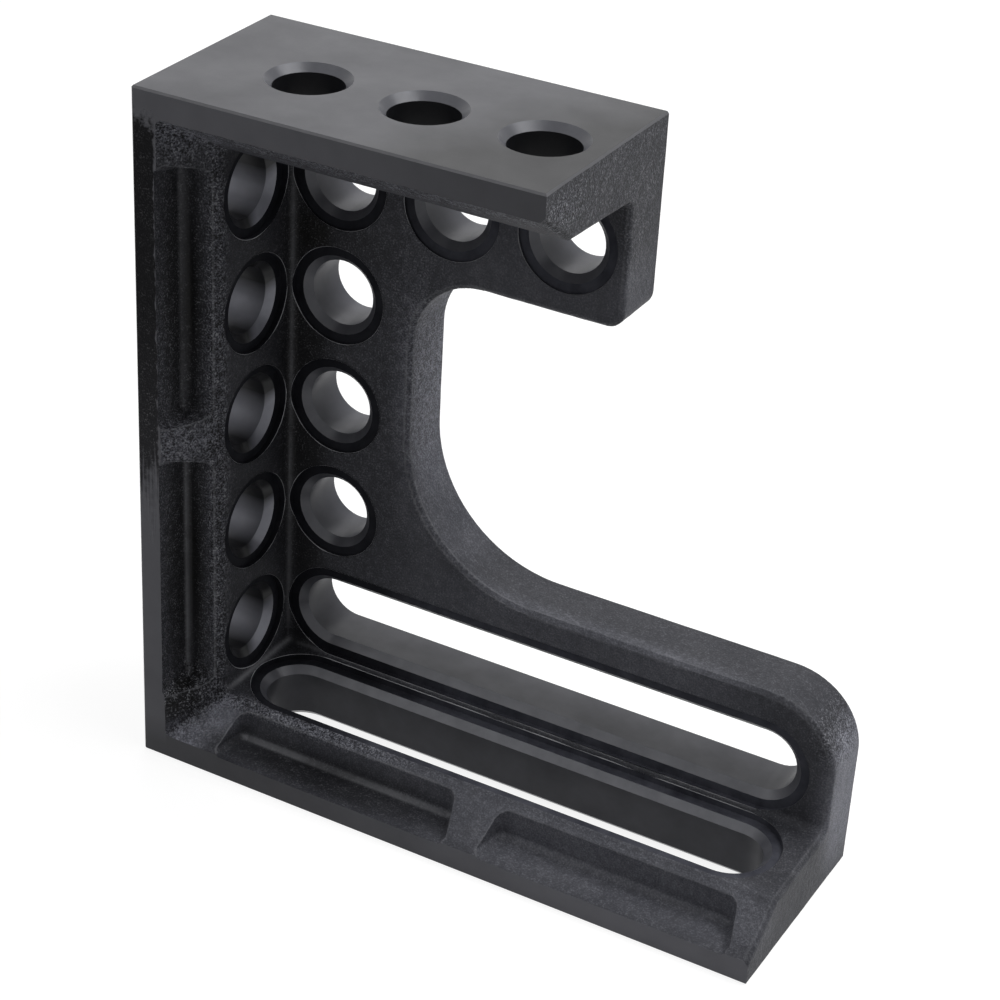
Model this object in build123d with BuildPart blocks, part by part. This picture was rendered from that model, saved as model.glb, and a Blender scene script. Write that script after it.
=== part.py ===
from build123d import *
from math import radians, tan
import os

os.makedirs("parts", exist_ok=True)

# A one-piece cast square for clamping work on a bored welding table. Sizes are in millimetres.
# It is modelled from its outer corner: X runs along the base from the upright's outer face,
# Y from the open front edges to the back face of the web, and Z up from the underside.
# At the end it is moved so that its origin is the middle of the underside.

# Overall sizes, with the lengths of base and arm taken at the back face
height = 300.0
depth = 94.0
base_length = 281.0
arm_length = 175.5

# Clamping bores and slots, all on the table's pitch
pitch = 50.0
first_bore = 50.0
back_to_bore_row = 50.0
bore_diameter = 28.0
mouth_chamfer = 3.0
spotface_diameter = 42.0
spotface_depth = 1.0

# The web, a C-shaped plate, and the metal it keeps beside its bores and slot
web_thickness = 26.0
upright_margin = 35.0
base_margin = 34.0
arm_margin = 31.0
slot_end_margin = 31.0
arm_end_margin = 4.0
throat_lower_radius = 60.0
throat_upper_radius = 30.0
throat_lower_share = 0.6
throat_upper_share = 0.3
base_end_radius = 30.0
arm_end_radius = 8.0

# The cast section that base, upright and arm share: a thin machined front edge,
# a slope up to full thickness, and a drafted inner face that thickens to the web.
# The free ends and the throat are drafted too, and reach furthest at the back face.
edge_thickness = 11.0
slope_run = 22.0
flange_thickness = 26.0
flange_draft = 2.5
root_radius = 4.0
shoulder_radius = 2.0
cast_edge_bevel = 1.8
outline_draft = 0.9

# Cast pockets in the slopes of the base and the upright, two in each with a rib between.
# The end that lies further from the square's corner has more draft than the nearer one.
pocket_floor = 10.0
pocket_depth = 18.5
pocket_near_draft = 8.0
pocket_far_draft = 16.0
pocket_corner_radius = 5.0
pocket_fold = 2.5
pocket_rib = 13.0
base_pocket_start = 35.0
base_pocket_end_wall = 10.0
upright_pocket_start = 30.0
upright_pocket_end_wall = 29.5

# The broken edges of the machined outer faces
edge_break = 0.8

bore_radius = bore_diameter / 2
mouth_radius = bore_radius + mouth_chamfer
spotface_radius = spotface_diameter / 2
web_front = depth - web_thickness
bore_row = depth - back_to_bore_row
root_thickness = flange_thickness + (web_front - slope_run) * tan(radians(flange_draft))
flange_seat = flange_thickness - spotface_depth
web_seat = web_thickness - spotface_depth
web_inset = web_thickness * tan(radians(outline_draft))
end_inset = depth * tan(radians(outline_draft))

# Bores up the upright and along the arm, and slots from the first bore to the base's end
upright_bores = int((height - 2 * first_bore) // pitch) + 1
arm_reach = arm_length - arm_end_margin - spotface_radius
arm_bores = int((arm_reach - first_bore) // pitch) + 1
top_row = first_bore + (upright_bores - 1) * pitch
slot_travel = base_length - slot_end_margin - first_bore
slot_middle = first_bore + slot_travel / 2

# Straight sides of the throat
throat_side = first_bore + upright_margin
throat_bottom = first_bore + base_margin
throat_top = top_row - arm_margin

# Its two inner rounds, each limited by its share of the side between them
throat_rise = throat_top - throat_bottom
lower_round = min(throat_lower_radius, throat_lower_share * throat_rise)
upper_round = min(throat_upper_radius, throat_upper_share * throat_rise)

base_pocket_end = base_length - base_pocket_end_wall
upright_pocket_end = height - upright_pocket_end_wall
base_pocket_length = (base_pocket_end - base_pocket_start - pocket_rib) / 2
upright_pocket_length = (upright_pocket_end - upright_pocket_start - pocket_rib) / 2


def near(shapes, axis, place):
    # The shapes whose middle lies at this place along the axis
    tolerance = 0.01
    return shapes.filter_by_position(axis, place - tolerance, place + tolerance)


def mitred(edge):
    # Whether the edge runs on the mitre between two flanges, as far along X as along Z
    direction = edge.tangent_at(0.5)
    tolerance = 0.001
    return abs(direction.X) > tolerance and abs(abs(direction.X) - abs(direction.Z)) < tolerance


def pocket(length, left_draft, right_draft):
    # The hollow of one pocket, with its floor on Z=0: open at the front, narrowing
    # to rounded rear corners, and with a bevelled fold where its walls meet the floor
    clear = 2.0
    half = length / 2
    left_slope = tan(radians(left_draft))
    right_slope = tan(radians(right_draft))
    with BuildPart() as hollow:
        with BuildSketch():
            with BuildLine():
                FilletPolyline(
                    (-half - clear * left_slope, -clear),
                    (half + clear * right_slope, -clear),
                    (half - pocket_depth * right_slope, pocket_depth),
                    (pocket_depth * left_slope - half, pocket_depth),
                    radius=(0, 0, pocket_corner_radius, pocket_corner_radius),
                    close=True,
                )
            make_face()
        extrude(amount=flange_thickness)
        rear_fold = near(near(edges(), Axis.Z, 0), Axis.Y, pocket_depth)
        chamfer(rear_fold, length=pocket_fold)
    return hollow.part


def bore_line(first, along, outward, count, seat):
    # A line of bores with a chamfered mouth at each end and a spotface round the inner one.
    # first is on the outer face and seat is the distance from there to the spotface.
    outer = Plane(origin=first, x_dir=along, z_dir=outward)
    inner = Plane(origin=outer.offset(-seat).origin, x_dir=along, z_dir=-outer.z_dir)
    steps = [(step * pitch, 0) for step in range(count)]
    with Locations(outer):
        with Locations(*steps):
            CounterSinkHole(bore_radius, mouth_radius, depth=seat, counter_sink_angle=90)
    with Locations(inner):
        with Locations(*steps):
            CounterSinkHole(bore_radius, mouth_radius, depth=seat, counter_sink_angle=90)
    with Locations(inner.offset(root_radius)):
        with Locations(*steps):
            Hole(spotface_radius, depth=root_radius)


def slot(middle, outward, seat):
    # A long slot along X, with the same chamfers and spotface as the bores
    outer = Plane(origin=middle, x_dir=(1, 0, 0), z_dir=outward)
    inner = outer.offset(-seat)
    for place, width, reach, taper in (
        (outer, bore_diameter, -seat, 0),
        (outer, 2 * mouth_radius, -mouth_chamfer, 45),
        (inner, 2 * mouth_radius, mouth_chamfer, 45),
        (inner, spotface_diameter, -2 * root_radius, 0),
    ):
        with BuildSketch(place) as outline:
            SlotCenterToCenter(slot_travel, width)
        extrude(outline.sketch, amount=reach, taper=taper, mode=Mode.SUBTRACT)


# The cast section, with its depth along x and its thickness along y
with BuildSketch() as flange_section:
    with BuildLine():
        FilletPolyline(
            (0, 0),
            (0, edge_thickness),
            (slope_run, flange_thickness),
            (web_front, root_thickness),
            (depth, root_thickness),
            (depth, 0),
            radius=(0, 0, shoulder_radius, 0, 0, 0),
            close=True,
        )
    make_face()

base_pocket = pocket(base_pocket_length, pocket_near_draft, pocket_far_draft)
upright_pocket = pocket(upright_pocket_length, pocket_far_draft, pocket_near_draft)
base_pockets = Plane(
    origin=((base_pocket_start + base_pocket_end) / 2, 0, pocket_floor),
    x_dir=(1, 0, 0),
    z_dir=(0, 0, 1),
)
upright_pockets = Plane(
    origin=(pocket_floor, 0, (upright_pocket_start + upright_pocket_end) / 2),
    x_dir=(0, 0, -1),
    z_dir=(1, 0, 0),
)

with BuildPart() as clamping_square:
    # The base, the upright and the arm along the web's outer edges
    with BuildSketch(Plane.YZ):
        add(flange_section.sketch)
    extrude(amount=base_length)
    with BuildSketch(Plane(origin=(0, 0, height), x_dir=(0, 1, 0), z_dir=(0, 0, -1))):
        add(flange_section.sketch)
    extrude(amount=height)
    with BuildSketch(Plane(origin=(arm_length, 0, height), x_dir=(0, 1, 0), z_dir=(-1, 0, 0))):
        add(flange_section.sketch)
    extrude(amount=arm_length)

    # The free ends of base and arm draw in towards the open front
    for end, level in ((base_length, 0), (arm_length, height / 2)):
        with BuildSketch(Plane.XY.offset(level)):
            with BuildLine():
                Polyline((end, depth), (end, 0), (end - end_inset, 0), close=True)
            make_face()
        extrude(amount=height / 2, mode=Mode.SUBTRACT)

    # The web, which draws in from its back face forwards
    with BuildSketch(Plane.XZ.offset(-depth)):
        with BuildLine():
            FilletPolyline(
                (0, 0),
                (base_length, 0),
                (base_length, throat_bottom),
                (throat_side, throat_bottom),
                (throat_side, throat_top),
                (arm_length, throat_top),
                (arm_length, height),
                (0, height),
                radius=(
                    0,
                    0,
                    base_end_radius,
                    lower_round,
                    upper_round,
                    arm_end_radius,
                    0,
                    0,
                ),
                close=True,
            )
        make_face()
    extrude(amount=web_thickness, taper=outline_draft)

    # Cast radii in the valleys between the flanges and along their roots at the web
    valleys = edges().filter_by(GeomType.LINE).filter_by(mitred)
    at_web = near(edges().filter_by(GeomType.LINE), Axis.Y, web_front)
    base_root = near(at_web, Axis.Z, root_thickness)
    arm_root = near(at_web, Axis.Z, height - root_thickness)
    upright_root = near(at_web, Axis.X, root_thickness)
    fillet(valleys + base_root + arm_root + upright_root, radius=root_radius)

    # The cast edge that runs from the base's end round the throat to the arm's end
    web_outline = near(edges().filter_by(GeomType.LINE), Axis.Y, web_front)
    chamfer(near(web_outline, Axis.X, throat_side - web_inset), length=cast_edge_bevel)

    # Cast pockets in the slopes
    with Locations(base_pockets):
        with GridLocations(base_pocket_length + pocket_rib, 0, 2, 1):
            add(base_pocket, mode=Mode.SUBTRACT)
    with Locations(upright_pockets):
        with GridLocations(upright_pocket_length + pocket_rib, 0, 2, 1):
            add(upright_pocket, mode=Mode.SUBTRACT)

    # Bores up the upright, along the arm, and up and across the web
    bore_line(
        first=(0, bore_row, first_bore),
        along=(0, 0, 1),
        outward=(-1, 0, 0),
        count=upright_bores,
        seat=flange_seat,
    )
    bore_line(
        first=(first_bore, bore_row, height),
        along=(1, 0, 0),
        outward=(0, 0, 1),
        count=arm_bores,
        seat=flange_seat,
    )
    bore_line(
        first=(first_bore, depth, first_bore + pitch),
        along=(0, 0, 1),
        outward=(0, 1, 0),
        count=upright_bores - 1,
        seat=web_seat,
    )
    bore_line(
        first=(first_bore + pitch, depth, top_row),
        along=(1, 0, 0),
        outward=(0, 1, 0),
        count=arm_bores - 1,
        seat=web_seat,
    )

    # The two long slots, in the base and in the web above it
    slot(middle=(slot_middle, bore_row, 0), outward=(0, 0, -1), seat=flange_seat)
    slot(middle=(slot_middle, depth, first_bore), outward=(0, 1, 0), seat=web_seat)

    # Broken edges round the machined outer faces
    outer_faces = [
        faces().sort_by(Axis.X)[0],
        faces().sort_by(Axis.Y)[-1],
        faces().sort_by(Axis.Z)[0],
        faces().sort_by(Axis.Z)[-1],
    ]
    outer_edges = ShapeList(edge for face in outer_faces for edge in face.outer_wire().edges())
    chamfer(outer_edges, length=edge_break)

clamping_square.part.move(Location((-base_length / 2, -depth / 2, 0)))
clamping_square.part.label = "clamping_square"
export_step(clamping_square.part, "parts/clamping_square.step")
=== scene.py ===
import math

import bmesh
import bpy
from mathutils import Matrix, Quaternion, Vector, noise


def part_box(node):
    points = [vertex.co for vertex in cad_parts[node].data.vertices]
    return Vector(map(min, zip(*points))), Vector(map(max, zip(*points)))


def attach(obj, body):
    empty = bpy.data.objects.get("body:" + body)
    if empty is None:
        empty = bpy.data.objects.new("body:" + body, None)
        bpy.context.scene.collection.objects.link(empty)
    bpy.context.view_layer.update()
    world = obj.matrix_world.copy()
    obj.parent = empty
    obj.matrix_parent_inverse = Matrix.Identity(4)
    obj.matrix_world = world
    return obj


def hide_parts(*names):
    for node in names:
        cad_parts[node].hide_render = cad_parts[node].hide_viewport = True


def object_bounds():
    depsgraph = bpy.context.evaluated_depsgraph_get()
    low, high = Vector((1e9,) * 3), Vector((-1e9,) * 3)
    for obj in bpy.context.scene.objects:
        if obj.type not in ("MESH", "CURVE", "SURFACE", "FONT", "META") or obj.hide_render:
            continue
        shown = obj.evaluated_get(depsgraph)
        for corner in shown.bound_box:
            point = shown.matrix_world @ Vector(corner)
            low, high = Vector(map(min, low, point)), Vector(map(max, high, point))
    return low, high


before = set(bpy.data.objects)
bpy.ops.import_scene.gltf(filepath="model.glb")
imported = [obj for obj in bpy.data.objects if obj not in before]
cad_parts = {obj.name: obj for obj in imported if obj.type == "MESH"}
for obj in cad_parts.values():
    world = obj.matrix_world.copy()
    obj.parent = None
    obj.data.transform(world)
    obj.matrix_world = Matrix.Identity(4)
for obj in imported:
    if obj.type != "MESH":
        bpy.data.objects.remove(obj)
cadLow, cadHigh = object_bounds()
scene = bpy.context.scene
mm = 0.001
xAxis, yAxis, zAxis = Vector((1, 0, 0)), Vector((0, 1, 0)), Vector((0, 0, 1))
print("frame loaded")


# Camera

cameraView = {
    "azimuth": 28.883,           # degrees round the upright axis, from the open front
    "elevation": 29.445,
    "roll": 2.482,
    "distance": 1.01403,
    "target": (-0.030076, -0.002, 0.157051),
    "focalPixels": 2594.8,
    "principalPixel": (435.8, 454.9),
    "picturePixels": 1000,
    "sensor": 36.0,
}


def makeCamera(view):
    azimuth, elevation = math.radians(view["azimuth"]), math.radians(view["elevation"])
    back = Vector((
        math.sin(azimuth) * math.cos(elevation),
        -math.cos(azimuth) * math.cos(elevation),
        math.sin(elevation),
    ))
    data = bpy.data.cameras.new("camera")
    data.sensor_width = view["sensor"]
    data.lens = view["focalPixels"] / view["picturePixels"] * view["sensor"]
    data.shift_x = 0.5 - view["principalPixel"][0] / view["picturePixels"]
    data.shift_y = view["principalPixel"][1] / view["picturePixels"] - 0.5
    camera = bpy.data.objects.new("camera", data)
    scene.collection.objects.link(camera)
    camera.rotation_mode = "QUATERNION"
    camera.location = Vector(view["target"]) + back * view["distance"]
    turn = Quaternion(zAxis, math.radians(view["roll"]))
    camera.rotation_quaternion = (-back).to_track_quat("-Z", "Y") @ turn
    scene.camera = camera


makeCamera(cameraView)


# Node helpers

def newMaterial(name):
    material = bpy.data.materials.new(name)
    material.use_nodes = True
    tree = material.node_tree
    return material, tree, tree.nodes["Principled BSDF"]


def fill(tree, socket, value):
    # a socket takes a value, or another node's output
    if isinstance(value, bpy.types.NodeSocket):
        tree.links.new(value, socket)
    else:
        socket.default_value = value


def addNode(tree, kind, inputs=None, **settings):
    node = tree.nodes.new(kind)
    for name, value in settings.items():
        setattr(node, name, value)
    for name, value in (inputs or {}).items():
        fill(tree, node.inputs[name], value)
    return node


def newGroup(name, inputs, outputs):
    tree = bpy.data.node_groups.new(name, "ShaderNodeTree")
    for socketName, value in inputs.items():
        socket = tree.interface.new_socket(socketName, in_out="INPUT", socket_type="NodeSocketFloat")
        socket.default_value = value
    for socketName in outputs:
        tree.interface.new_socket(socketName, in_out="OUTPUT", socket_type="NodeSocketFloat")
    return tree, tree.nodes.new("NodeGroupInput"), tree.nodes.new("NodeGroupOutput")


def placeGroup(tree, group, inputs):
    return addNode(tree, "ShaderNodeGroup", inputs, node_tree=group).outputs


def objectPlace(tree):
    return tree.nodes.new("ShaderNodeTexCoord").outputs["Object"]


def placeParts(tree, axes):
    split = addNode(tree, "ShaderNodeSeparateXYZ", {"Vector": objectPlace(tree)})
    return [split.outputs[axis] for axis in axes]


def noiseOf(tree, place, scale, detail=2.0, roughness=0.5):
    inputs = {"Vector": place, "Scale": scale, "Detail": detail, "Roughness": roughness}
    return addNode(tree, "ShaderNodeTexNoise", inputs).outputs["Fac"]


def mapped(tree, value, low, high, toLow=0.0, toHigh=1.0):
    inputs = {"Value": value, "From Min": low, "From Max": high, "To Min": toLow, "To Max": toHigh}
    return addNode(tree, "ShaderNodeMapRange", inputs).outputs["Result"]


def between(tree, factor, first, second):
    return mapped(tree, factor, 0.0, 1.0, first, second)


def ramp(tree, value, origin, reach, first=0.0, second=1.0):
    # from the first value to the second over a reach given in mm from the origin
    return mapped(tree, value, origin + reach[0] * mm, origin + reach[1] * mm, first, second)


def combined(tree, operation, *values):
    node = addNode(tree, "ShaderNodeMath", operation=operation)
    for socket, value in zip(node.inputs, values):
        fill(tree, socket, value)
    return node.outputs["Value"]


def plus(tree, first, second):
    return combined(tree, "ADD", first, second)


def minus(tree, first, second):
    return combined(tree, "SUBTRACT", first, second)


def times(tree, first, second):
    return combined(tree, "MULTIPLY", first, second)


def largest(tree, first, second):
    return combined(tree, "MAXIMUM", first, second)


def inverse(tree, value):
    return combined(tree, "DIVIDE", 1.0, value)


def blended(tree, factor, first, second):
    # from the first colour to the second; each is a colour or another node's output
    node = tree.nodes.new("ShaderNodeMix")
    node.data_type = "RGBA"
    for name, value in {"Factor": factor, "A": first, "B": second}.items():
        socket = next(s for s in node.inputs if s.name == name and s.enabled)
        fill(tree, socket, (*value, 1.0) if isinstance(value, tuple) else value)
    return next(s for s in node.outputs if s.enabled)


def tinted(tree, colour, share):
    # a colour made lighter or darker by a share
    inputs = {"Vector": colour, "Scale": share}
    return addNode(tree, "ShaderNodeVectorMath", inputs, operation="SCALE").outputs["Vector"]


def painted(tree, name):
    # what paintCast painted on the surface under this name
    return addNode(tree, "ShaderNodeAttribute", attribute_name=name).outputs["Fac"]


def stretched(tree, place, scale):
    return addNode(tree, "ShaderNodeMapping", {"Vector": place, "Scale": scale}).outputs["Vector"]


def bumped(tree, surface, height, distance, strength=1.0):
    inputs = {"Height": height, "Distance": distance, "Strength": strength}
    bump = addNode(tree, "ShaderNodeBump", inputs)
    tree.links.new(bump.outputs["Normal"], surface.inputs["Normal"])


# Effects that more than one finish uses

effects = {
    "cloudDetail": 4.0, "crumbDetail": 1.0, "lumpDetail": 3.0, "lineDetail": 3.0,
    "noiseRoughness": 0.6,
    "lumpRelief": 1.2,                   # against the crumbs' 1
    "brightCrumbs": (0.55, 0.68),        # which crumbs get a painted glint
    "brightPatches": (0.4, 0.62, 0.05, 1.0),     # and how much on which lumps
    "crumbTone": 0.6, "lumpTone": 0.4, "toneRange": (0.41, 0.61),
    "lineStretch": (1.0, 12.0, 12.0),
}


def makeCloudGroup(values):
    # soft patches of tone, as handling and oil leave on metal
    tree, given, result = newGroup("clouding", {"Size": 0.03, "Contrast": 0.3}, ["Tone"])
    scale = inverse(tree, given.outputs["Size"])
    cloud = noiseOf(tree, objectPlace(tree), scale, values["cloudDetail"], values["noiseRoughness"])
    spread = times(tree, minus(tree, cloud, 0.5), given.outputs["Contrast"])
    tree.links.new(plus(tree, spread, 0.5), result.inputs["Tone"])
    return tree


def makeGrainGroup(values):
    # sand grain: fine crumbs over lumps, and painted glints on the crumbs that would catch the light
    inputs = {"Crumb": 0.0006, "Lump": 0.003, "Glints": 0.5}
    tree, given, result = newGroup("sandGrain", inputs, ["Height", "Glint", "Tone"])
    place = objectPlace(tree)
    crumbScale, lumpScale = (inverse(tree, given.outputs[name]) for name in ("Crumb", "Lump"))
    crumb = noiseOf(tree, place, crumbScale, values["crumbDetail"], values["noiseRoughness"])
    lump = noiseOf(tree, place, lumpScale, values["lumpDetail"], values["noiseRoughness"])
    tree.links.new(plus(tree, crumb, times(tree, lump, values["lumpRelief"])), result.inputs["Height"])
    bright = mapped(tree, crumb, *values["brightCrumbs"])
    patches = mapped(tree, lump, *values["brightPatches"])
    glint = times(tree, times(tree, bright, patches), given.outputs["Glints"])
    tree.links.new(glint, result.inputs["Glint"])
    coarse = plus(tree, times(tree, crumb, values["crumbTone"]), times(tree, lump, values["lumpTone"]))
    tree.links.new(mapped(tree, coarse, *values["toneRange"]), result.inputs["Tone"])
    return tree


def makeToolGroup(values):
    # fine lines across, as a cutter leaves them
    tree, given, result = newGroup("toolLines", {"Pitch": 0.003}, ["Height"])
    across = stretched(tree, objectPlace(tree), values["lineStretch"])
    lines = noiseOf(tree, across, inverse(tree, given.outputs["Pitch"]), values["lineDetail"])
    tree.links.new(lines, result.inputs["Height"])
    return tree


clouding = makeCloudGroup(effects)
sandGrain = makeGrainGroup(effects)
toolLines = makeToolGroup(effects)


# Finishes

# where the bores are, from the front lower left corner; finishes and casting both use it
boreGrid = {"first": 50 * mm, "pitch": 50 * mm, "row": 44 * mm}

# the milled faces; a fade is painted light and shade, with its two places and the share of the tone at each
machinedLook = {
    "dark": (0.046, 0.0463, 0.052), "light": (0.062, 0.0624, 0.07),
    "metal": 0.05, "roughness": 0.42, "roughnessSpread": 0.05, "gloss": 0.18,
    "clouds": {"Size": 0.03, "Contrast": 2.0},
    "toolPitch": 0.004, "toolShare": 0.1, "bump": 0.0003, "bumpStrength": 0.6,
    "topFade": (-0.03, 0.014, 1.25, 0.3),        # painted reflection across the top, from light at its left rear to dark at its right front
    "armFade": (-0.105, 0.025, 2.0, 1.25),       # painted light along the arm's front strip
    "baseFade": (-0.095, 0.065, 1.05, 2.7),      # painted light along the base's front strip
    "uprightFade": (0.006, 0.02, 1.1, 1.95),     # painted light up the upright's front strip
    "topSlant": 0.525, "drift": 0.05, "driftScale": 22.0, "driftDetail": 3.0,
    "topFrom": (-0.6, -0.3), "frontFrom": (0.5, 0.2), "stripWidth": (11, 12),    # in mm from low or high
    "armFrom": (0.2, 0.22),
    # where the upright's strip was left as cast, with painted glints on its crumbs
    "skin": (0.008, 0.008, 0.009), "skinGlint": (0.05, 0.05, 0.053), "skinFade": (0.15, 0.21, 1.5, 0.7),
    "skinGrain": {"Crumb": 0.0007, "Lump": 0.0035, "Glints": 0.9}, "skinMetal": 1.0, "skinRoughness": 0.6,
    "skinFoot": (0.114, 0.142), "skinHead": (0.291, 0.286), "skinSide": (10.6, 9.6),
    "streakScale": (700.0, 1.0, 40.0), "raggedScale": 350.0, "raggedDetail": 3.0,
    "footStreaks": 0.06, "footRagged": 0.03, "headRagged": 0.02, "sideRagged": 0.003,
}
# what the other machined finishes share, and then each of them
machinedCommon = {"contrast": 1.6, "roughnessSpread": 0.06, "bump": 0.00003, "bumpStrength": 0.6}
machinedFinishes = {
    "brokenEdge": {
        "dark": (0.06, 0.0605, 0.067), "light": (0.095, 0.0955, 0.104),
        "metal": 0.1, "roughness": 0.4, "gloss": 0.35, "cloudSize": 0.006, "toolPitch": 0.002,
    },
    "boredMetal": {
        "dark": (0.04, 0.0408, 0.048), "light": (0.075, 0.0762, 0.087),
        "metal": 0.1, "roughness": 0.36, "gloss": 0.2, "cloudSize": 0.02, "toolPitch": 0.003,
        # painted light and shade inside the bores, by place
        "boreLightShares": {"web": 1.7, "upright": 3.6, "uprightDark": 0.3, "arm": 0.2},
    },
    "mouthMetal": {
        "dark": (0.07, 0.0715, 0.083), "light": (0.12, 0.1225, 0.14),
        "metal": 0.1, "roughness": 0.32, "gloss": 0.35, "cloudSize": 0.012, "toolPitch": 0.003,
        # painted light and shade on the bores' mouths, by place
        "boreLightShares": {"web": 0.95, "upright": 3.4, "uprightDark": 0.15, "arm": 0.85},
    },
    # the spotfaces' broken edges: bare machined metal, made lighter as a painted highlight
    "rimMetalHighlight": {
        "dark": (0.3, 0.305, 0.33), "light": (0.5, 0.505, 0.53),
        "metal": 0.1, "roughness": 0.4, "gloss": 0.3, "cloudSize": 0.008, "toolPitch": 0.003,
        # painted highlight on the rims, dimmed in the open
        "seatLightShares": {"open": 0.25, "enclosed": 0.9},
    },
    "seatMetal": {
        "dark": (0.01, 0.0104, 0.0135), "light": (0.034, 0.035, 0.042),
        "metal": 0.0, "roughness": 0.5, "gloss": 0.02, "cloudSize": 0.01, "toolPitch": 0.003,
        # painted shade on the seats, darkest near the upright
        "seatLightShares": {"open": 2.8, "enclosed": 3.3},
    },
}
# painted light and shade inside the bores, in mm from the front lower left corner, or down from the top
boreLightTones = {
    "webFrom": (70, 90),         # height over which the slots' walls give way to the web's bores
    "uprightWall": (27, 28),     # where the upright's bores end
    "armWall": (-28, -27),       # and where the arm's do
    "rearward": 0.77, "downward": 0.64, "bright": (9.5, 13.5),   # where the upright's bores get their painted highlight
}
# painted light and shade on the seats and rims, in mm from the front lower left corner
seatLightTones = {
    "clearOfUpright": (75, 115),
    "slotEnd": (245, 262),
    "frontHalf": (52, 48),       # of the base slot
    "upperHalf": (46, 52), "upperEnd": (110, 100),       # of the web slot
    "underArm": (70, 150), "armFoot": (215, 225),
}
# the cast skin: the brightest colour is painted glints on the crumbs, the next is rubbed wear with painted
# highlights along the folds, the darkest is painted shade in the crack and a darker line round the seats
castLook = {
    "dark": (0.03, 0.031, 0.0375), "light": (0.056, 0.0568, 0.065), "glint": (0.42, 0.425, 0.45),
    "darkening": (0.006, 0.006, 0.008), "wearAndHighlight": (0.48, 0.487, 0.52),
    "roughness": 0.55, "glintRoughness": 0.4, "gloss": 0.15, "bump": 0.0009,
    "clouds": {"Size": 0.02, "Contrast": 1.6},
    "grain": {"Crumb": 0.00075, "Lump": 0.0028, "Glints": 1.0},
    # each without grit and with all of it: the tone in the pits and on the crumbs, partly painted shade in the
    # pits and painted light on the crumbs, and the relief
    "pits": (0.92, 0.0), "crumbs": (1.08, 2.9), "relief": (0.18, 1.0),
    "wearAndHighlightPatches": (0.2, 0.6, 0.35, 1.0),       # how clouds break up the rubbed edges and the painted fold highlights
    "darkeningPatches": (0.3, 0.7, 1.0, 0.5),        # and how grain breaks up the darkening
}


def boreLightShare(tree, tones, shares, low, high):
    # painted light and shade: the arm's bores are painted black inside, the upright's get a painted highlight
    # low at the rear and painted shade above
    x, y, z = placeParts(tree, "XYZ")
    first, pitch = low.z + boreGrid["first"], boreGrid["pitch"]
    share = ramp(tree, z, low.z, tones["webFrom"], 1.0, shares["web"])
    above = minus(tree, combined(tree, "WRAP", z, first + pitch / 2, first - pitch / 2), first)
    behind = minus(tree, y, low.y + boreGrid["row"])
    facing = minus(tree, times(tree, behind, tones["rearward"]), times(tree, above, tones["downward"]))
    upright = ramp(tree, facing, 0.0, tones["bright"], shares["uprightDark"], shares["upright"])
    share = ramp(tree, x, low.x, tones["uprightWall"], upright, share)
    return ramp(tree, z, high.z, tones["armWall"], share, shares["arm"])


def seatLightShare(tree, tones, shares, low):
    # painted light and shade: seats and rims have one tone in the open, another between the slots, and their
    # own near the upright, where the seats are painted darkest
    x, y, z = placeParts(tree, "XYZ")
    away = ramp(tree, x, low.x, tones["clearOfUpright"])
    ended = ramp(tree, x, low.x, tones["slotEnd"])
    front = ramp(tree, y, low.y, tones["frontHalf"])
    upper = times(tree, ramp(tree, z, low.z, tones["upperHalf"]), ramp(tree, z, low.z, tones["upperEnd"]))
    underArm = times(tree, ramp(tree, x, low.x, tones["underArm"]), ramp(tree, z, low.z, tones["armFoot"]))
    clear = largest(tree, largest(tree, ended, front), largest(tree, upper, underArm))
    enclosed = between(tree, away, 1.0, shares["enclosed"])
    return between(tree, times(tree, clear, away), enclosed, shares["open"])


def makeMachined(name, look, common):
    material, tree, surface = newMaterial(name)
    tone = placeGroup(tree, clouding, {"Size": look["cloudSize"], "Contrast": common["contrast"]})["Tone"]
    colour = blended(tree, tone, look["dark"], look["light"])
    # painted light and shade by place, in the bores and on the seats and rims
    if "boreLightShares" in look:
        colour = tinted(tree, colour, boreLightShare(tree, boreLightTones, look["boreLightShares"], cadLow, cadHigh))
    if "seatLightShares" in look:
        colour = tinted(tree, colour, seatLightShare(tree, seatLightTones, look["seatLightShares"], cadLow))
    tree.links.new(colour, surface.inputs["Base Color"])
    surface.inputs["Metallic"].default_value = look["metal"]
    surface.inputs["Specular IOR Level"].default_value = look["gloss"]
    rough, spread = look["roughness"], common["roughnessSpread"]
    tree.links.new(between(tree, tone, rough + spread, rough - spread), surface.inputs["Roughness"])
    lines = placeGroup(tree, toolLines, {"Pitch": look["toolPitch"]})["Height"]
    bumped(tree, surface, lines, common["bump"], common["bumpStrength"])
    return material


def faceLightShare(tree, look, onFront, low, high):
    # painted light and shade: each milled face fades along its length
    x, y, z = placeParts(tree, "XYZ")
    wander = noiseOf(tree, objectPlace(tree), look["driftScale"], look["driftDetail"])
    drift = times(tree, minus(tree, wander, 0.5), look["drift"])
    slant = minus(tree, x, times(tree, y, look["topSlant"]))
    top = mapped(tree, plus(tree, slant, drift), *look["topFade"])
    arm = mapped(tree, plus(tree, x, drift), *look["armFade"])
    base = mapped(tree, plus(tree, x, drift), *look["baseFade"])
    upright = mapped(tree, z, *look["uprightFade"])
    front = ramp(tree, x, low.x, look["stripWidth"], upright, base)
    front = mapped(tree, z, *look["armFrom"], front, arm)
    share = between(tree, onFront, 1.0, front)
    return between(tree, ramp(tree, z, high.z, look["topFrom"]), share, top)


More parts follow.
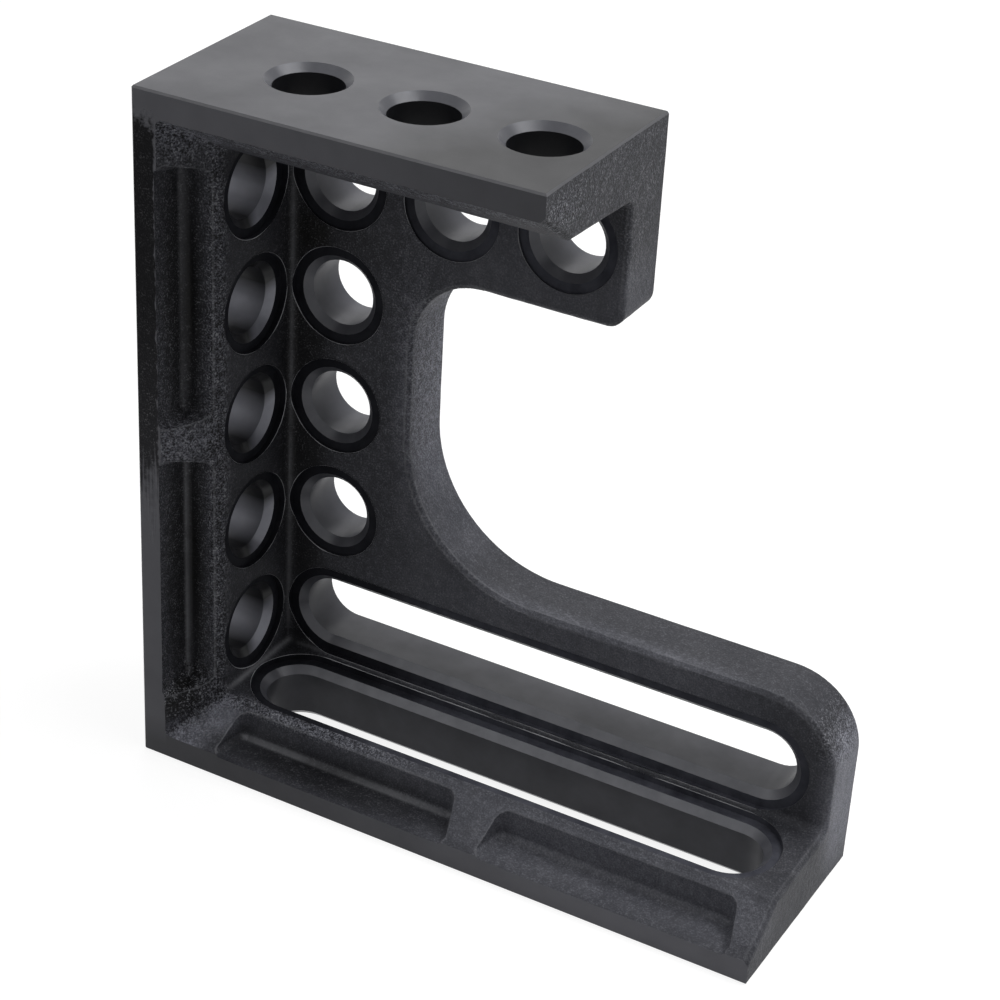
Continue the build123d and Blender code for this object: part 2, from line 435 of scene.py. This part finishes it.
def skinShare(tree, look, onFront, low):
    # 1 where the upright's front strip keeps its black skin, with a ragged edge
    x, z = placeParts(tree, "XZ")
    place = objectPlace(tree)
    streaks = minus(tree, noiseOf(tree, stretched(tree, place, look["streakScale"]), 1.0), 0.5)
    ragged = minus(tree, noiseOf(tree, place, look["raggedScale"], look["raggedDetail"]), 0.5)
    rise = plus(tree, times(tree, streaks, look["footStreaks"]), times(tree, ragged, look["footRagged"]))
    foot = mapped(tree, plus(tree, z, rise), *look["skinFoot"])
    head = mapped(tree, plus(tree, z, times(tree, ragged, look["headRagged"])), *look["skinHead"])
    side = ramp(tree, plus(tree, x, times(tree, ragged, look["sideRagged"])), low.x, look["skinSide"])
    return times(tree, times(tree, foot, head), times(tree, side, onFront))


def makeMachinedFace(look, low, high):
    material, tree, surface = newMaterial("machinedFace")
    y, z = placeParts(tree, "YZ")
    onFront = ramp(tree, y, low.y, look["frontFrom"])
    tone = placeGroup(tree, clouding, look["clouds"])["Tone"]
    milled = blended(tree, tone, look["dark"], look["light"])
    # painted light and shade along each milled face
    milled = tinted(tree, milled, faceLightShare(tree, look, onFront, low, high))
    grain = placeGroup(tree, sandGrain, look["skinGrain"])
    # painted glints on the black skin's crumbs
    black = blended(tree, grain["Glint"], look["skin"], look["skinGlint"])
    black = tinted(tree, black, mapped(tree, z, *look["skinFade"]))
    skin = skinShare(tree, look, onFront, low)
    tree.links.new(blended(tree, skin, milled, black), surface.inputs["Base Color"])
    tree.links.new(between(tree, skin, look["metal"], look["skinMetal"]), surface.inputs["Metallic"])
    surface.inputs["Specular IOR Level"].default_value = look["gloss"]
    rough, spread = look["roughness"], look["roughnessSpread"]
    roughness = between(tree, skin, between(tree, tone, rough + spread, rough - spread), look["skinRoughness"])
    tree.links.new(roughness, surface.inputs["Roughness"])
    lines = placeGroup(tree, toolLines, {"Pitch": look["toolPitch"]})["Height"]
    height = between(tree, skin, times(tree, lines, look["toolShare"]), grain["Height"])
    bumped(tree, surface, height, look["bump"], look["bumpStrength"])
    return material


def makeCast(look):
    material, tree, surface = newMaterial("castSkin")
    grit, paintedLight = painted(tree, "grit"), painted(tree, "paintedLight")
    wearAndHighlight, darkening = painted(tree, "wearAndHighlight"), painted(tree, "darkening")
    cloud = placeGroup(tree, clouding, look["clouds"])["Tone"]
    grain = placeGroup(tree, sandGrain, look["grain"])
    # the pits painted darker and the crumbs lighter, partly as painted shade and light on the grain
    pits, crumbs = between(tree, grit, *look["pits"]), between(tree, grit, *look["crumbs"])
    pitted = between(tree, grain["Tone"], pits, crumbs)
    skin = blended(tree, cloud, look["dark"], look["light"])
    # painted light and shade on the skin, by place
    skin = tinted(tree, skin, times(tree, paintedLight, pitted))
    # painted glints on the crumbs
    glint = times(tree, grain["Glint"], grit)
    skin = blended(tree, glint, skin, look["glint"])
    # rubbed wear on the edges, and painted highlights along the folds
    wornAndLit = times(tree, wearAndHighlight, mapped(tree, cloud, *look["wearAndHighlightPatches"]))
    skin = blended(tree, wornAndLit, skin, look["wearAndHighlight"])
    # painted shade in the crack between the slopes, and a darker line round the seats
    darkened = times(tree, darkening, mapped(tree, grain["Tone"], *look["darkeningPatches"]))
    skin = blended(tree, darkened, skin, look["darkening"])
    tree.links.new(skin, surface.inputs["Base Color"])
    surface.inputs["Specular IOR Level"].default_value = look["gloss"]
    roughness = between(tree, glint, look["roughness"], look["glintRoughness"])
    tree.links.new(roughness, surface.inputs["Roughness"])
    bumped(tree, surface, times(tree, grain["Height"], between(tree, grit, *look["relief"])), look["bump"])
    return material


machinedFace = makeMachinedFace(machinedLook, cadLow, cadHigh)
machined = [makeMachined(name, look, machinedCommon) for name, look in machinedFinishes.items()]
castSkin = makeCast(castLook)
print("finishes made")


# The casting

castingShape = {
    "uprightBores": 5,
    "armBores": 3,
    "slotTravel": 200 * mm,
    "spotfaceRadius": 21 * mm,
    "mouthRadius": 17 * mm,
    "boreRadius": 14 * mm,
    "radiusSlack": 0.1 * mm,
    "seatFacing": 0.95,          # how nearly a seat faces along its bore, where 1 is straight
    "boreReach": 36 * mm,        # from an outer face to beyond the spotface's rim
    "edgeBreak": 0.8 * mm,
    "near": 0.02 * mm,
    "mergeWithin": 0.002 * mm,
    "cutWithin": 0.001 * mm,
    "flatWithin": 0.3,           # faces this close in degrees become one
    "hardFrom": 22,              # degrees from which an edge stays sharp
    "cell": 1.25 * mm,           # the grid that carries the cast unevenness
    "swells": ((22 * mm, 0.2 * mm), (8 * mm, 0.1 * mm), (4.5 * mm, 0.06 * mm)),      # wave and size
    "swellApart": 900,           # keeps the waves from lining up
    "swellShift": (7.3, 1.9),
    "heldFrom": 0.05,            # how unlike the others a machined surface holds the skin beside it
    "freeFrom": 0.3,             # how much of its direction has to be left for the skin to move
    "soften": 0.5,
    "rimBreak": 0.3 * mm,        # the broken edge of each spotface, with a painted highlight
    "wearAndHighlightFrom": 14,             # how sharp an edge starts to be rubbed bright, with a painted highlight, in degrees
    "wearAndHighlightFull": 34,
    "wearAndHighlightShare": 0.28,
    # from where to where along the base in mm, and to what share
    "wearAndHighlightFade": (60, 190, 0.3),     # the rubbed edges and their painted highlights
    "darkeningFade": (60, 110, 0.2),     # the darker line round the seats
    # painted highlights along the folds: start, end and reach in mm, and strength
    "foldHighlights": (
        ((11.2, 17.2, 33), (11.2, 17.2, 140), 0.95, 0.5),
        ((10.4, 16.4, 158), (10.4, 16.4, 266), 0.9, 0.3),
        ((38, 17.2, 11.2), (146, 17.2, 11.2), 1.0, 0.5),
        ((162, 17.2, 11.2), (268, 17.2, 11.2), 0.9, 0.08),
        ((29.2, 66.8, 36), (29.2, 66.8, 268), 0.9, 0.22),
        ((27.2, 24, 27.2), (29.2, 66.8, 29.2), 1.2, 0.36),
        ((34, 66.8, 29.2), (250, 66.8, 29.2), 0.8, 0.15),
    ),
    # where the slopes of base and upright meet, sunk and painted dark as shade in the crease: start, end,
    # reach and depth in mm
    "cracks": (((12, 1.5, 12), (26, 22, 26), 1.9, 0.8),),
    # away from the spots: how coarse and bright the grain is, and the painted light and shade
    "grit": 0.12,
    "paintedLight": 1.0,
    # spots: centre and reach from the front lower left corner in mm, and what they add
    "gritSpots": (
        ((16, 8, 160), (16, 22, 175), 0.4),        # upright's slope and pockets
        ((25, 20, 160), (4.5, 5, 160), 0.8),       # its coarse band behind the pockets
        ((13, 17, 87), (3, 3, 55), -0.45),         # the smoother rear of each pocket
        ((13, 17, 213), (3, 3, 55), -0.45),
        ((15, 9, 150), (10, 14, 9), 0.3),          # the rib and the head
        ((16, 9, 282), (10, 14, 11), 0.5),
        ((15, 11, 29), (9, 14, 11), 0.85),         # the lower corner, coarsest on the upright's side
        ((60, 21, 25), (50, 4, 4), 0.6),           # behind the base's left pocket
        ((90, 10, 288), (110, 22, 10), 0.85),      # under the arm's strip
        ((60, 68, 190), (45, 12, 110), 0.15),      # web beside the bores
        ((85, 82, 195), (12, 16, 60), 0.35),       # throat, upper part
        ((279, 80, 72), (10, 20, 14), 0.45),       # round end of the base
        ((175, 50, 280), (6, 50, 40), 0.25),       # arm's end
    ),
    # painted light and shade: soft spots where the skin is painted lighter or darker
    "paintedLightSpots": (
        ((170, 12, 20), (150, 16, 16), 0.9),       # base's slope and pockets
        ((95, 12, 11), (60, 10, 8.5), -1.15),      # its left pocket
        ((205, 18.5, 17), (62, 3, 7), 0.8),        # rear of the right one
        ((20, 4, 12.5), (10, 10, 6), 2.8),         # the lower corner, on the base's side
        ((30, 15, 20), (8, 10, 7), 2.4),
        ((14, 8, 26), (7, 14, 9), -0.9),           # and on the upright's
        ((70, 21, 25), (50, 4, 4), 0.8),           # behind the base's left pocket
        ((283, 84, 40), (11, 18, 38), 3.8),        # rear of the base's end, painted light
        ((85, 84, 170), (10, 20, 60), 2.5),        # throat's side
        ((98, 84, 108), (22, 20, 26), 0.9),        # and its bend
        ((175, 82, 232), (8, 16, 16), 0.8),        # arm's end, low at the rear
        ((165, 68, 75), (85, 8, 20), 0.9),         # web over the slot
        ((215, 68, 72), (30, 8, 16), 0.3),
        ((262, 14, 18), (16, 16, 12), 0.35),       # end of the base's slope
        ((140, 68, 235), (50, 8, 25), 0.5),        # web under the arm
        ((53, 68, 225), (22, 8, 9), -0.45),        # but not between the first bores
        ((36, 68, 160), (11, 12, 170), -0.85),     # web beside the upright
        ((26, 45, 160), (8, 30, 160), -0.25),      # upright's inner face
        ((24, 20, 160), (7, 7, 130), 0.5),         # upright's slope behind its pockets
        ((15, 9, 150), (10, 16, 9), 1.4),          # its rib
        ((20, 9, 284), (16, 16, 11), 1.2),         # and its head
        ((100, 10, 288), (90, 22, 9), 0.5),        # under the arm's strip
        ((12, 13, 87), (10, 9, 60), -0.8),         # the upright's pockets
        ((12, 13, 213), (10, 9, 60), -0.8),
        ((15, 18.5, 150), (5, 2.5, 130), -0.35),   # and their rears
    ),
}
machinedZone, brokenZone, boredZone, mouthZone, rimZone, seatZone, castZone = range(7)
castingFinishes = (machinedFace, *machined, castSkin)


def boreLines(shape, grid, low, high):
    # each bore or slot as the start and end of its middle line on the outer face, and the way in
    first, pitch, row = grid["first"], grid["pitch"], low.y + grid["row"]
    lines = []
    for step in range(shape["uprightBores"]):
        place = Vector((low.x, row, low.z + first + step * pitch))
        lines.append((place, place, xAxis))
    for step in range(shape["armBores"]):
        place = Vector((low.x + first + step * pitch, row, high.z))
        lines.append((place, place, -zAxis))
    for step in range(1, shape["uprightBores"]):
        place = Vector((low.x + first, high.y, low.z + first + step * pitch))
        lines.append((place, place, -yAxis))
    for step in range(1, shape["armBores"]):
        place = Vector((low.x + first + step * pitch, high.y, high.z - first))
        lines.append((place, place, -yAxis))
    travel = xAxis * shape["slotTravel"]
    baseSlot = Vector((low.x + first, row, low.z))
    webSlot = Vector((low.x + first, high.y, low.z + first))
    lines.append((baseSlot, baseSlot + travel, zAxis))
    lines.append((webSlot, webSlot + travel, -yAxis))
    return lines


def shareAlong(point, start, end):
    # how far along a line a point lies, from 0 to 1
    along = end - start
    if along.length == 0:
        return 0.0
    return min(1.0, max(0.0, (point - start).dot(along) / along.length_squared))


def fromLine(point, start, end):
    return (point - start - (end - start) * shareAlong(point, start, end)).length


def lineStrength(point, line):
    # 1 on a line, falling off over its reach, all in mm
    start, end, reach = line[:3]
    return math.exp(-(fromLine(point, Vector(start), Vector(end)) / reach) ** 2)


def boreRadius(point, line, shape):
    # how far a point is from a bore's middle, or None where the bore doesn't reach
    start, end, inward = line
    depth = (point - start).dot(inward)
    if not -shape["near"] < depth < shape["boreReach"]:
        return None
    return fromLine(point - inward * depth, start, end)


def boredZoneOf(face, line, shape):
    # the wall round the seat, the seat, or the bore and its mouths
    slack = shape["radiusSlack"]
    radii = [boreRadius(vertex.co, line, shape) for vertex in face.verts]
    if None in radii or max(radii) > shape["spotfaceRadius"] + shape["near"]:
        return None
    if min(radii) > shape["spotfaceRadius"] - slack:
        return rimZone
    facing = abs(face.normal.dot(line[2]))
    if min(radii) > shape["mouthRadius"] - slack and facing > shape["seatFacing"]:
        return seatZone
    if max(radii) > shape["boreRadius"] + slack:
        return mouthZone
    return boredZone


def zoneOf(face, lines, shape, low, high):
    points = [vertex.co for vertex in face.verts]
    near = shape["near"]

    def within(test, reach):
        return all(abs(test(point)) < reach for point in points)

    outer = (
        lambda point: point.x - low.x,
        lambda point: point.y - high.y,
        lambda point: point.z - low.z,
        lambda point: point.z - high.z,
    )
    if any(within(test, near) for test in outer) or within(lambda point: point.y - low.y, near):
        return machinedZone
    if any(within(test, shape["edgeBreak"] + near) for test in outer):
        return brokenZone
    for line in lines:
        zone = boredZoneOf(face, line, shape)
        if zone is not None:
            return zone
    return castZone


def zonesRound(part):
    # the zones that meet at an edge or a vertex
    return {face.material_index for face in part.link_faces}


def cutAcross(mesh, faces, axis, places, within):
    # cuts the faces at each place along the axis, by halves
    if not places or not faces:
        return
    middle = len(places) // 2
    normal = Vector((0.0, 0.0, 0.0))
    normal[axis] = 1.0
    parts = list(dict.fromkeys(part for face in faces for part in (face, *face.edges, *face.verts)))
    plane = normal * places[middle]
    cut = bmesh.ops.bisect_plane(mesh, geom=parts, dist=within, plane_co=plane, plane_no=normal)
    faces = [part for part in cut["geom"] if isinstance(part, bmesh.types.BMFace)]
    below = [face for face in faces if face.calc_center_median()[axis] < places[middle]]
    above = [face for face in faces if face.calc_center_median()[axis] >= places[middle]]
    cutAcross(mesh, below, axis, places[:middle], within)
    cutAcross(mesh, above, axis, places[middle + 1:], within)


def gridCast(mesh, shape, low, high):
    for axis in range(3):
        count = round((high[axis] - low[axis]) / shape["cell"])
        step = (high[axis] - low[axis]) / count
        places = [low[axis] + step * (index + 0.5) for index in range(count)]
        facing = [
            face for face in mesh.faces
            if face.material_index == castZone and max(range(3), key=lambda i: abs(face.normal[i])) != axis
        ]
        cutAcross(mesh, facing, axis, places, shape["cutWithin"])
    # the cuts leave the faces in another order each time
    mesh.verts.index_update()
    ordered = sorted(mesh.faces, key=lambda face: sorted(vertex.index for vertex in face.verts))
    for index, face in enumerate(ordered):
        face.index = index
    mesh.faces.sort()


def freeDirection(vertex, shape):
    # the cast skin's own direction, kept within the machined surfaces that meet it here
    direction = Vector((0.0, 0.0, 0.0))
    for face in vertex.link_faces:
        if face.material_index == castZone:
            direction += face.normal * face.calc_area()
    if direction.length == 0:
        return None
    direction.normalize()
    held = []
    for face in vertex.link_faces:
        if face.material_index != castZone:
            normal = face.normal.copy()
            for other in held:
                normal -= other * normal.dot(other)
            if normal.length > shape["heldFrom"]:
                held.append(normal.normalized())
    for normal in held:
        direction -= normal * direction.dot(normal)
    if direction.length < shape["freeFrom"]:
        return None
    return direction / direction.length_squared


def swell(point, shape):
    return sum(
        size * noise.noise(point / wave + Vector((wave * shape["swellApart"], *shape["swellShift"])))
        for wave, size in shape["swells"]
    )


def spotted(place, start, spots):
    # a value with soft round spots added to it
    for centre, reach, amount in spots:
        away = sum(((place[i] - centre[i]) / reach[i]) ** 2 for i in range(3))
        start += amount * math.exp(-away * away)
    return start


def faded(place, fade):
    # from 1 down to a share between two places
    start, end, share = fade
    return 1.0 + (share - 1.0) * min(1.0, max(0.0, (place - start) / (end - start)))


def paintCast(mesh, shape, low):
    # what the cast finish needs to know of each place: its grain, its painted light and shade, its rubbed
    # edges with painted fold highlights, and the darker line round the seats with painted shade in the crack
    layers = {name: mesh.verts.layers.float.new(name) for name in ("grit", "paintedLight", "wearAndHighlight", "darkening")}
    wearAndHighlightFrom, wearAndHighlightFull = (math.radians(shape[name]) for name in ("wearAndHighlightFrom", "wearAndHighlightFull"))
    for vertex in mesh.verts:
        zones = zonesRound(vertex)
        if castZone not in zones:
            continue
        place = (vertex.co - low) / mm
        vertex[layers["grit"]] = min(1.0, max(0.0, spotted(place, shape["grit"], shape["gritSpots"])))
        vertex[layers["paintedLight"]] = max(0.0, spotted(place, shape["paintedLight"], shape["paintedLightSpots"]))
        cracked = max(lineStrength(place, line) for line in shape["cracks"])
        vertex[layers["darkening"]] = max(faded(place.x, shape["darkeningFade"]) * (rimZone in zones), cracked)
        if zones == {castZone}:
            fold = max(edge.calc_face_angle_signed(0.0) for edge in vertex.link_edges)
            wornAndLit = min(1.0, max(0.0, (fold - wearAndHighlightFrom) / (wearAndHighlightFull - wearAndHighlightFrom)))
            wornAndLit *= shape["wearAndHighlightShare"] * faded(place.x, shape["wearAndHighlightFade"])
            lit = max(line[3] * lineStrength(place, line) for line in shape["foldHighlights"])
            vertex[layers["wearAndHighlight"]] = max(wornAndLit, lit)


def sunk(point, shape, low):
    # how deep a crack leaves this place
    place = (point - low) / mm
    return mm * sum(line[3] * lineStrength(place, line) for line in shape["cracks"])


def breakRims(mesh, shape):
    # a bevel round each spotface, whose own wall looks as its seat does
    rims = [edge for edge in mesh.edges if zonesRound(edge) == {castZone, rimZone}]
    for face in mesh.faces:
        if face.material_index == rimZone:
            face.material_index = seatZone
    bmesh.ops.bevel(
        mesh, geom=rims, offset=shape["rimBreak"], offset_type="OFFSET", affect="EDGES", segments=1,
        profile=0.5, material=rimZone, clamp_overlap=True, loop_slide=True,
    )


def roughenCast(mesh, shape, low, high):
    # softens the cast edges, then raises and sinks the skin, within the CAD box
    skin = [vertex for vertex in mesh.verts if zonesRound(vertex) == {castZone}]
    bmesh.ops.smooth_vert(
        mesh, verts=skin, factor=shape["soften"], use_axis_x=True, use_axis_y=True, use_axis_z=True,
    )
    mesh.normal_update()
    moves = []
    for vertex in mesh.verts:
        direction = freeDirection(vertex, shape)
        if direction is not None:
            rise = swell(vertex.co, shape) - sunk(vertex.co, shape, low)
            moves.append((vertex, direction * rise))
    for vertex, move in moves:
        point = vertex.co + move
        for axis in range(3):
            point[axis] = min(high[axis], max(low[axis], point[axis]))
        vertex.co = point


def makeCasting(shape, grid, finishes):
    low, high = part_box("clamping_square")
    lines = boreLines(shape, grid, low, high)
    mesh = bmesh.new()
    mesh.from_mesh(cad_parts["clamping_square"].data)
    bmesh.ops.remove_doubles(mesh, verts=mesh.verts, dist=shape["mergeWithin"])
    flat = math.radians(shape["flatWithin"])
    bmesh.ops.dissolve_limit(mesh, angle_limit=flat, verts=mesh.verts, edges=mesh.edges)
    print("merged:", len(mesh.faces), "faces")
    for face in mesh.faces:
        face.material_index = zoneOf(face, lines, shape, low, high)
        face.smooth = True
    breakRims(mesh, shape)
    gridCast(mesh, shape, low, high)
    print("gridded:", len(mesh.faces), "faces")

    mesh.normal_update()
    paintCast(mesh, shape, low)
    roughenCast(mesh, shape, low, high)
    for edge in mesh.edges:
        zones = zonesRound(edge)
        hard = edge.calc_face_angle(0.0) > math.radians(shape["hardFrom"])
        edge.smooth = zones == {castZone} or (len(zones) == 1 and not hard)
    print("triangles:", sum(len(face.verts) - 2 for face in mesh.faces))

    data = bpy.data.meshes.new("casting")
    for material in finishes:
        data.materials.append(material)
    mesh.to_mesh(data)
    mesh.free()
    casting = bpy.data.objects.new("casting", data)
    scene.collection.objects.link(casting)
    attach(casting, "root")
    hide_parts("clamping_square")


makeCasting(castingShape, boreGrid, castingFinishes)
print("casting made")


# Floor and light

studio = {
    "floorSize": 8.0,
    "floorTone": 0.35,           # what the floor sends back to the object
    "floorSeen": 0.3,            # what the lamps add to the white that shows
    "floorWhite": 0.86,
    "ambient": 0.12,
    "lamps": (
        # name, place round the object, height angle, distance, width, power
        ("overRightRear", 120, 65, 1.7, 1.1, 21),
        ("overLeftRear", 205, 62, 1.7, 1.2, 4),
        ("leftRear", 209, 35, 1.7, 0.8, 2.5),
        ("leftFront", -35, 35, 1.9, 1.2, 6),
        ("rightLow", 120, 6, 1.2, 0.5, 1.2),
    ),
}


def seenRay(tree):
    # 1 where the camera, a gloss or a glass looks at the backdrop
    path = tree.nodes.new("ShaderNodeLightPath")
    seen = largest(tree, path.outputs["Is Camera Ray"], path.outputs["Is Glossy Ray"])
    return largest(tree, seen, path.outputs["Is Transmission Ray"])


def makeFloor(setup):
    mesh = bmesh.new()
    bmesh.ops.create_grid(mesh, x_segments=1, y_segments=1, size=setup["floorSize"] / 2)
    data = bpy.data.meshes.new("floor")
    mesh.to_mesh(data)
    mesh.free()
    floor = bpy.data.objects.new("floor", data)
    scene.collection.objects.link(floor)
    material, tree, surface = newMaterial("paleFloor")
    seen = seenRay(tree)
    tone = between(tree, seen, setup["floorTone"], setup["floorSeen"])
    tree.links.new(tone, surface.inputs["Base Color"])
    surface.inputs["Roughness"].default_value = 0.9
    surface.inputs["Specular IOR Level"].default_value = 0.0
    surface.inputs["Emission Color"].default_value = (1.0, 1.0, 1.0, 1.0)
    glow = between(tree, seen, 0.0, setup["floorWhite"])
    tree.links.new(glow, surface.inputs["Emission Strength"])
    data.materials.append(material)


def makeWorld(setup):
    world = bpy.data.worlds.new("studio")
    world.use_nodes = True
    scene.world = world
    tree = world.node_tree
    backdrop = tree.nodes["Background"]
    backdrop.inputs["Color"].default_value = (1.0, 1.0, 1.0, 1.0)
    strength = between(tree, seenRay(tree), setup["ambient"], 1.0)
    tree.links.new(strength, backdrop.inputs["Strength"])


def makeLamp(name, around, up, distance, width, power, target):
    data = bpy.data.lights.new(name, "AREA")
    data.shape = "SQUARE"
    data.size = width
    data.energy = power
    lamp = bpy.data.objects.new(name, data)
    scene.collection.objects.link(lamp)
    around, up = math.radians(around), math.radians(up)
    away = Vector((math.sin(around) * math.cos(up), -math.cos(around) * math.cos(up), math.sin(up)))
    lamp.location = target + away * distance
    lamp.rotation_mode = "QUATERNION"
    lamp.rotation_quaternion = (-away).to_track_quat("-Z", "Y")


makeFloor(studio)
makeWorld(studio)
middle = (cadLow + cadHigh) / 2
for lampSettings in studio["lamps"]:
    makeLamp(*lampSettings, middle)
scene.view_settings.view_transform = "Standard"
print("studio made")
